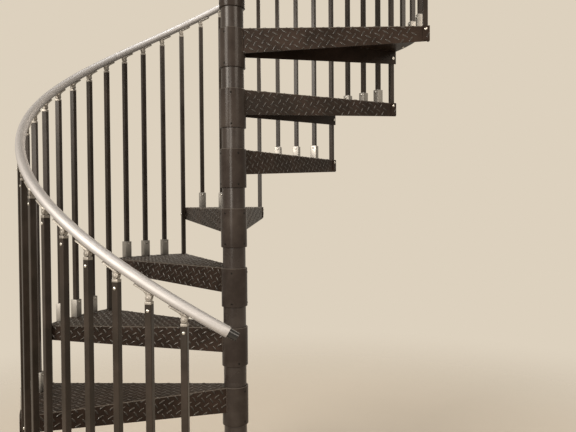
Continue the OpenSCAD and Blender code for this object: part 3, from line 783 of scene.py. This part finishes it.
rivet = screw_head("rivet", 0.0046, 0.0014, bracket_cast)
stair_bracket, tube_drop = bracket(rail_slope)
guard_bracket, guard_drop = bracket(0.0)
tubes = treads * per_tread
groups = {"rail_brackets_lower": range(0, 17), "rail_brackets_middle": range(17, 33),
          "rail_brackets_upper": range(33, tubes + 1)}
cap_screw_drop = 0.016
for name, members in groups.items():
    ups = [k * turn / per_tread for k in members]
    heads = [at_turn(u, tube_r, rail_z(u)) for u in ups]
    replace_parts(set_out("cast_" + name, stair_bracket, heads), name)
    screwed = Matrix.Translation((tube / 2, 0, -tube_drop - cap_screw_drop))
    set_out(name + "_screws", [pan_head], [head @ screwed for head in heads])
heads = [guard_place(k, rail_z(360)) @ Matrix.Rotation(math.pi / 2, 4, "Z") for k in range(guard_tubes)]
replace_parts(set_out("cast_landing_rail_brackets", guard_bracket, heads),
            "landing_rail_brackets")
screwed = Matrix.Translation((tube / 2, 0, -guard_drop - cap_screw_drop))
set_out("landing_rail_brackets_screws", [pan_head], [head @ screwed for head in heads])
for model in stair_bracket + guard_bracket + [shoe, pan_head, bolt_head, set_screw, nut, rivet]:
    bpy.data.objects.remove(model)


# Plain pale floor and backdrop, soft studio light, and the camera where the photograph was taken from. The
# floor's paper fades out round the stair, so that its shadow stays and no horizon shows.
fade_start, fade_end = 1.6, 4.4
bpy.ops.mesh.primitive_plane_add(size=40, location=(0, 0, -0.0005))
floor = bpy.context.object
floor.name = "studio_floor"
matte = bpy.data.materials.new("matt_paper_backdrop")
matte.use_nodes = True
tree = matte.node_tree
tree.nodes.clear()
place = add(tree, "ShaderNodeTexCoord").outputs["Object"]
reach = add(tree, "ShaderNodeVectorMath", {0: place}, operation="LENGTH")
far = add(tree, "ShaderNodeMapRange", {
    "Value": reach.outputs["Value"], "From Min": fade_start, "From Max": fade_end},
    interpolation_type="SMOOTHSTEP")
paper = add(tree, "ShaderNodeBsdfPrincipled", {"Base Color": linear("#c8bfb1"), "Roughness": 0.95})
clear = add(tree, "ShaderNodeBsdfTransparent")
faded = add(tree, "ShaderNodeMixShader", {
    0: far.outputs["Result"], 1: paper.outputs[0], 2: clear.outputs[0]})
add(tree, "ShaderNodeOutputMaterial", {"Surface": faded.outputs[0]})
floor.data.materials.append(matte)

# Gloss shows the backdrop too, at part strength, so that the satin black keeps its depth
backdrop_in_gloss = 0.45
world = bpy.data.worlds.new("studio")
bpy.context.scene.world = world
world.use_nodes = True
tree = world.node_tree
tree.nodes.clear()
path = add(tree, "ShaderNodeLightPath").outputs
gloss = add(tree, "ShaderNodeMath", {
    0: path["Is Glossy Ray"], 1: backdrop_in_gloss}, operation="MULTIPLY").outputs["Value"]
mirrored = add(tree, "ShaderNodeMath", {
    0: path["Is Camera Ray"], 1: gloss}, operation="MAXIMUM").outputs["Value"]
seen = add(tree, "ShaderNodeMath", {
    0: mirrored, 1: path["Is Transmission Ray"]}, operation="MAXIMUM").outputs["Value"]
fill = add(tree, "ShaderNodeBackground", {"Color": linear("#fff6ea"), "Strength": 0.35})
back = add(tree, "ShaderNodeBackground", {"Color": linear("#ddd1be"), "Strength": 1.0})
studio = add(tree, "ShaderNodeMixShader", {0: seen, 1: fill.outputs[0], 2: back.outputs[0]})
add(tree, "ShaderNodeOutputWorld", {"Surface": studio.outputs[0]})


# A square lamp of a size and power at a place, aimed at a point
def soft_light(name, place, aim, size, power, colour):
    bpy.ops.object.light_add(type="AREA", location=place)
    lamp = bpy.context.object
    lamp.name = name
    lamp.data.shape = "SQUARE"
    lamp.data.size = size
    lamp.data.energy = power
    lamp.data.color = linear(colour)[:3]
    lamp.rotation_euler = (Vector(aim) - Vector(place)).to_track_quat("-Z", "Y").to_euler()


soft_light("window_side", (-6.5, -6.5, 5.2), (0, 0, 1.7), 4.2, 760, "#fff6ea")
soft_light("front_side", (-1.7, -6.8, 2.1), (0, 0, 1.4), 2.0, 140, "#fff6ea")
soft_light("room_side", (4.9, -4.3, 4.7), (0, 0, 2.0), 3.2, 190, "#fff2e2")
soft_light("overhead", (-0.4, -0.7, 7.0), (0, 0, 2.0), 2.0, 160, "#f6f4f0")
soft_light("back_side", (0.8, 6.0, 5.2), (0, 0, 2.2), 4.0, 100, "#fff0de")

# The camera is fitted to the hubs, treads, rail and balusters in the photograph. Its focal length and offset
# are in pixels of that picture.
picture_width, sensor = 576, 36
distance, height, focal, offset = 2.3905, 1.4221, 599.5, 31.0
toward, heading, pitch, roll = math.radians(280.334), math.radians(2.25), -0.0225, -0.0058
bpy.ops.object.camera_add(location=(distance * math.cos(toward), distance * math.sin(toward), height))
camera = bpy.context.object
look = Vector((-math.sin(heading) * math.cos(pitch), math.cos(heading) * math.cos(pitch), math.sin(pitch)))
right = Vector((math.cos(heading), math.sin(heading), 0))
above = right.cross(look)
right, above = (right * math.cos(roll) + above * math.sin(roll),
                above * math.cos(roll) - right * math.sin(roll))
camera.rotation_euler = Matrix((right, above, -look)).transposed().to_euler()
camera.data.sensor_width = sensor
camera.data.lens = focal * sensor / picture_width
camera.data.shift_x = -offset / picture_width
camera.data.clip_start = 0.05
bpy.context.scene.camera = camera
bpy.context.scene.view_settings.view_transform = "Standard"
